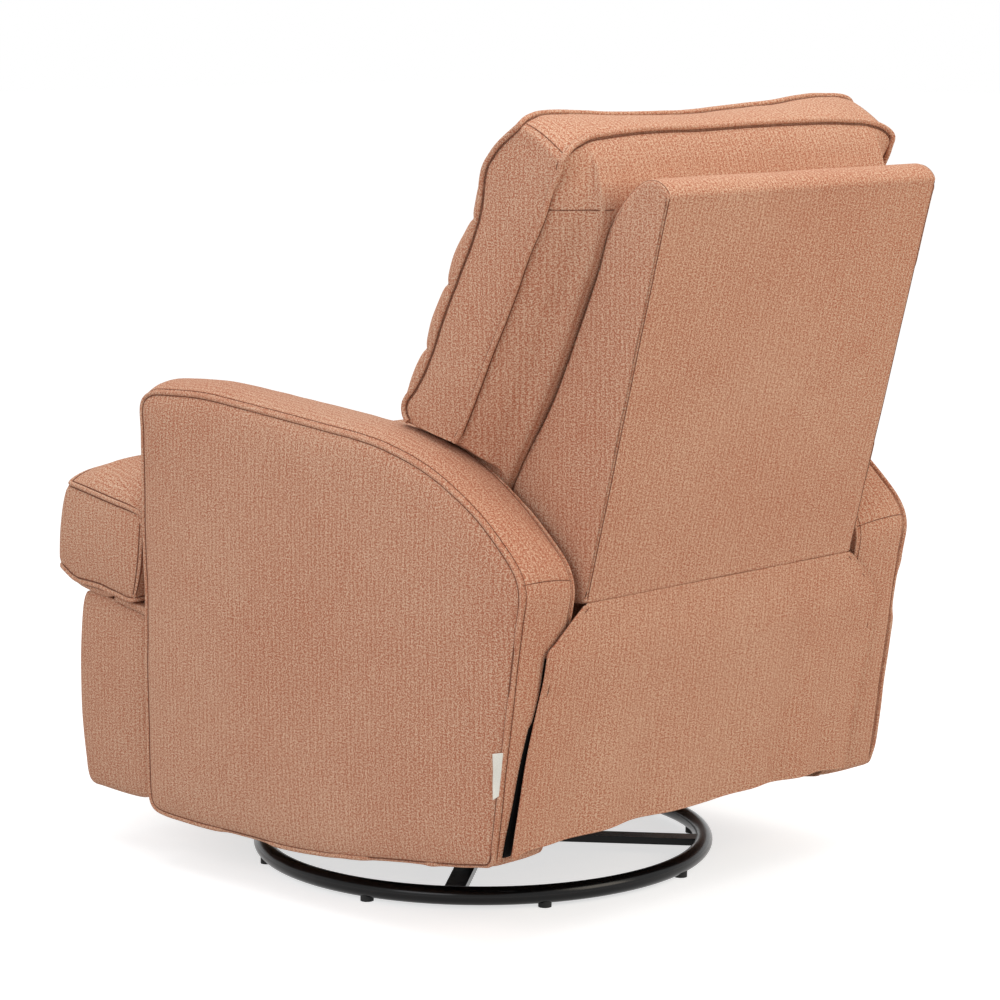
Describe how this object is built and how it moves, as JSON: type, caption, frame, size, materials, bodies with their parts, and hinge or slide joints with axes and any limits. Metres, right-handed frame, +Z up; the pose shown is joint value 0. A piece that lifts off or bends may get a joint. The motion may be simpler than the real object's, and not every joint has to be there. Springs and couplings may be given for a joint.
{
  "type": "swivel glider recliner",
  "caption": "Padded recliner armchair on a round tube base that swivels and glides, with a reclining channelled back and a folding leg rest.",
  "frame": {"origin": "on the floor, under the middle of the chair's bounding box", "axes": "+Z up, the sitter faces -Y, +X is the sitter's left"},
  "size_m": [0.79, 1.0534, 1.048],
  "materials": {
    "gloss_black": "gloss",
    "dark_steel": "satin",
    "zinc_steel": "satin",
    "ball_steel": "polished",
    "cage_plastic": "matte",
    "pad_rubber": "matte",
    "frame_wood": "raw",
    "web_fabric": "woven",
    "cover_fabric": "woven",
    "tag_fabric": "woven",
    "tab_plastic": "satin"
  },
  "bodies": {
    "base": {"base_ring": "gloss_black", "cross_bar": "gloss_black", "cross_arms": "gloss_black", "foot_pads": "pad_rubber", "swivel_post": "gloss_black", "swivel_lower_plate": "dark_steel", "bearing_balls": "ball_steel", "bearing_cage": "cage_plastic", "king_pin": "zinc_steel"},
    "swivel": {"swivel_upper_plate": "dark_steel", "glider_rail_left": "dark_steel", "glider_rail_right": "dark_steel", "glider_cross_front": "dark_steel", "glider_cross_rear": "dark_steel", "glider_posts": "dark_steel", "upper_pivot_pins": "zinc_steel"},
    "front_links": {"front_swing_links": "dark_steel"},
    "rear_links": {"rear_swing_links": "dark_steel"},
    "chassis": {"hanger_left": "dark_steel", "hanger_right": "dark_steel", "lower_pivot_pins": "zinc_steel", "carriage_tube_front": "dark_steel", "carriage_tube_rear": "dark_steel", "mechanism_plate_left": "dark_steel", "mechanism_plate_right": "dark_steel", "side_rail_left": "frame_wood", "side_rail_right": "frame_wood", "front_rail": "frame_wood", "rear_rail": "frame_wood", "seat_webbing": "web_fabric", "front_ledge": "cover_fabric", "seat_cushion": "cover_fabric", "arm_brackets": "dark_steel", "arm_board_left": "frame_wood", "arm_board_right": "frame_wood", "arm_pad_left": "cover_fabric", "arm_pad_right": "cover_fabric", "blank_tag": "tag_fabric", "drive_pins": "zinc_steel", "back_hinge_pins": "zinc_steel", "rear_skirt": "cover_fabric", "release_guide": "dark_steel"},
    "lower_leg_links": {"drive_links": "dark_steel", "knee_rod": "zinc_steel"},
    "upper_leg_links": {"reach_links": "dark_steel", "ankle_pins": "zinc_steel"},
    "footrest": {"footrest_brackets": "dark_steel", "footrest_board": "frame_wood", "footrest_pad": "cover_fabric"},
    "back": {"back_brackets": "dark_steel", "back_cheek_left": "frame_wood", "back_cheek_right": "frame_wood", "back_rails": "frame_wood", "back_webbing": "web_fabric", "back_side_covers": "cover_fabric", "back_rear_cover": "cover_fabric", "back_cushion": "cover_fabric"},
    "release": {"release_tab": "tab_plastic"}
  },
  "joints": [
    {"name": "swivel_turn", "type": "hinge", "parent": "base", "child": "swivel", "pos_m": [0, -0.0465, 0.07], "axis": [0, 0, 1], "continuous": true},
    {"name": "glide_front", "type": "hinge", "parent": "swivel", "child": "front_links", "pos_m": [0, -0.1565, 0.25], "axis": [1, 0, 0], "range_deg": [-12, 12]},
    {"name": "glide_level", "type": "hinge", "parent": "front_links", "child": "chassis", "pos_m": [0, -0.1565, 0.14], "axis": [1, 0, 0], "range_deg": [-12, 12]},
    {"name": "glide_rear", "type": "hinge", "parent": "swivel", "child": "rear_links", "pos_m": [0, 0.0635, 0.25], "axis": [1, 0, 0], "range_deg": [-12, 12]},
    {"name": "back_recline", "type": "hinge", "parent": "chassis", "child": "back", "pos_m": [0, 0.23, 0.38], "axis": [-1, 0, 0], "range_deg": [0, 38], "deforming": ["rear_skirt"]},
    {"name": "footrest_open", "type": "hinge", "parent": "chassis", "child": "lower_leg_links", "pos_m": [0, -0.268, 0.281], "axis": [-1, 0, 0], "range_deg": [0, 90]},
    {"name": "knee", "type": "hinge", "parent": "lower_leg_links", "child": "upper_leg_links", "pos_m": [0, -0.20844, 0.13358], "axis": [-1, 0, 0], "range_deg": [-140, 0]},
    {"name": "ankle", "type": "hinge", "parent": "upper_leg_links", "child": "footrest", "pos_m": [0, -0.29999, 0.30575], "axis": [-1, 0, 0], "range_deg": [0, 140]},
    {"name": "release_lift", "type": "slide", "parent": "chassis", "child": "release", "axis": [0, 0, 1], "range_m": [0, 0.02], "stiffness_N_per_m": 800, "springref_m": -0.005}
  ],
  "couplings": [
    {"joint": "glide_level", "follows": "glide_front", "ratio": -1},
    {"joint": "glide_rear", "follows": "glide_front", "ratio": 1},
    {"joint": "knee", "follows": "footrest_open", "ratio": -1.5556},
    {"joint": "ankle", "follows": "footrest_open", "ratio": 1.5556}
  ]
}
